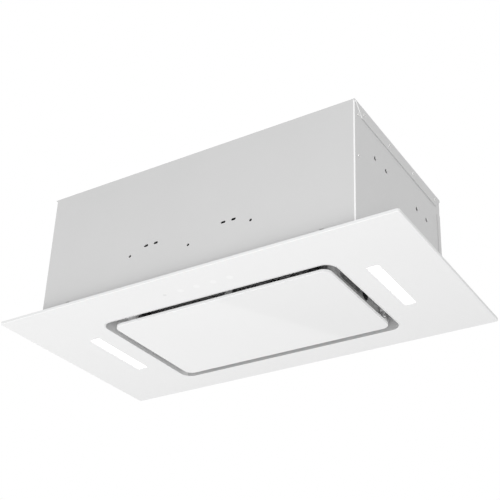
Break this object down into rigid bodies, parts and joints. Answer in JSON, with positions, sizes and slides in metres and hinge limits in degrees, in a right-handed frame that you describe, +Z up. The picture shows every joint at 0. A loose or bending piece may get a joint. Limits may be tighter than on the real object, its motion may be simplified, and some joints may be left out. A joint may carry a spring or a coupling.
{
  "type": "built-in range hood",
  "caption": "Built-in range hood with a flat white glass panel, perimeter suction gaps, a drop-down centre panel, two strip lamps, a grease filter and a centrifugal blower.",
  "frame": {"origin": "centre of the hood's footprint, on the underside of the centre glass, its lowest face", "axes": "+X along the hood's width, -Y towards the cook, +Z up into the cabinet"},
  "size_m": [0.6, 0.312, 0.226],
  "materials": {
    "white_glass": "back-painted white glass, polished",
    "casing_steel": "smooth light grey sheet steel",
    "tray_steel": "brushed",
    "bright_steel": "turned and plated",
    "spring_steel": "spring steel",
    "zinc_steel": "zinc plated",
    "filter_foil": "pressed aluminium",
    "filter_mesh": "layers of expanded mesh, dark with depth",
    "seal_foam": "closed-cell foam",
    "black_rubber": "moulded rubber",
    "black_plastic": "moulded, fine grain",
    "grey_plastic": "moulded",
    "white_plastic": "moulded",
    "lamp_diffuser": "opal, lit",
    "circuit_board": "glass-fibre board",
    "motor_can": "painted steel can"
  },
  "bodies": {
    "casing": {"outer_glass": "white_glass", "casing_wrap": "casing_steel", "rear_wall": "casing_steel", "top_cover": "casing_steel", "recess_tray": "tray_steel", "glass_subframe": "tray_steel", "hinge_brackets": "tray_steel", "latch_keepers": "tray_steel", "casing_rivets": "bright_steel", "tray_nuts": "bright_steel", "collar_screws": "bright_steel", "motor_screws": "bright_steel", "motor_bearings": "bright_steel", "hinge_pins": "bright_steel", "flap_pins": "bright_steel", "glass_clips": "spring_steel", "latch_spring_left": "spring_steel", "latch_spring_right": "spring_steel", "corner_angles": "zinc_steel", "motor_bracket": "zinc_steel", "capacitor_clip": "zinc_steel", "filter_frame": "filter_foil", "filter_mesh": "filter_mesh", "rim_seal": "seal_foam", "filter_seal": "seal_foam", "motor_bushes": "black_rubber", "scroll_left": "black_plastic", "scroll_right": "black_plastic", "inlet_rings": "black_plastic", "outlet_collar": "black_plastic", "flap_rest_bar": "black_plastic", "cable_gland": "black_plastic", "gland_nut": "black_plastic", "panel_magnets": "black_plastic", "control_box": "grey_plastic", "control_box_lid": "grey_plastic", "terminal_block": "grey_plastic", "lamp_housing_left": "white_plastic", "lamp_housing_right": "white_plastic", "touch_cover": "white_plastic", "capacitor": "white_plastic", "touch_pads": "white_plastic", "lamp_diffuser_left": "lamp_diffuser", "lamp_diffuser_right": "lamp_diffuser", "lamp_boards": "circuit_board", "touch_board": "circuit_board", "control_board": "circuit_board", "motor": "motor_can"},
    "centre_panel": {"centre_glass": "white_glass", "panel_tray": "tray_steel", "hinge_arms": "tray_steel", "strikers": "tray_steel"},
    "latch_left": {"latch_left": "black_plastic"},
    "latch_right": {"latch_right": "black_plastic"},
    "rotor": {"impeller_disc": "grey_plastic", "impeller_blades": "grey_plastic", "impeller_rings": "grey_plastic", "motor_shaft": "bright_steel"},
    "flap_front": {"flap_front": "black_plastic"},
    "flap_rear": {"flap_rear": "black_plastic"}
  },
  "joints": [
    {"name": "panel_hinge", "type": "hinge", "parent": "casing", "child": "centre_panel", "pos_m": [0, 0.093, 0.014], "axis": [1, 0, 0], "range_deg": [0, 85]},
    {"name": "latch_left_slide", "type": "slide", "parent": "casing", "child": "latch_left", "axis": [1, 0, 0], "range_m": [0, 0.006], "stiffness_N_per_m": 250, "springref_m": -0.004, "deforming": ["latch_spring_left"]},
    {"name": "latch_right_slide", "type": "slide", "parent": "casing", "child": "latch_right", "axis": [-1, 0, 0], "range_m": [0, 0.006], "stiffness_N_per_m": 250, "springref_m": -0.004, "deforming": ["latch_spring_right"]},
    {"name": "fan_spin", "type": "hinge", "parent": "casing", "child": "rotor", "pos_m": [0, -0.0265, 0.1135], "axis": [1, 0, 0], "continuous": true},
    {"name": "flap_front_hinge", "type": "hinge", "parent": "casing", "child": "flap_front", "pos_m": [0, 0.0114, 0.199], "axis": [-1, 0, 0], "range_deg": [0, 75]},
    {"name": "flap_rear_hinge", "type": "hinge", "parent": "casing", "child": "flap_rear", "pos_m": [0, 0.0166, 0.199], "axis": [1, 0, 0], "range_deg": [0, 75]}
  ]
}
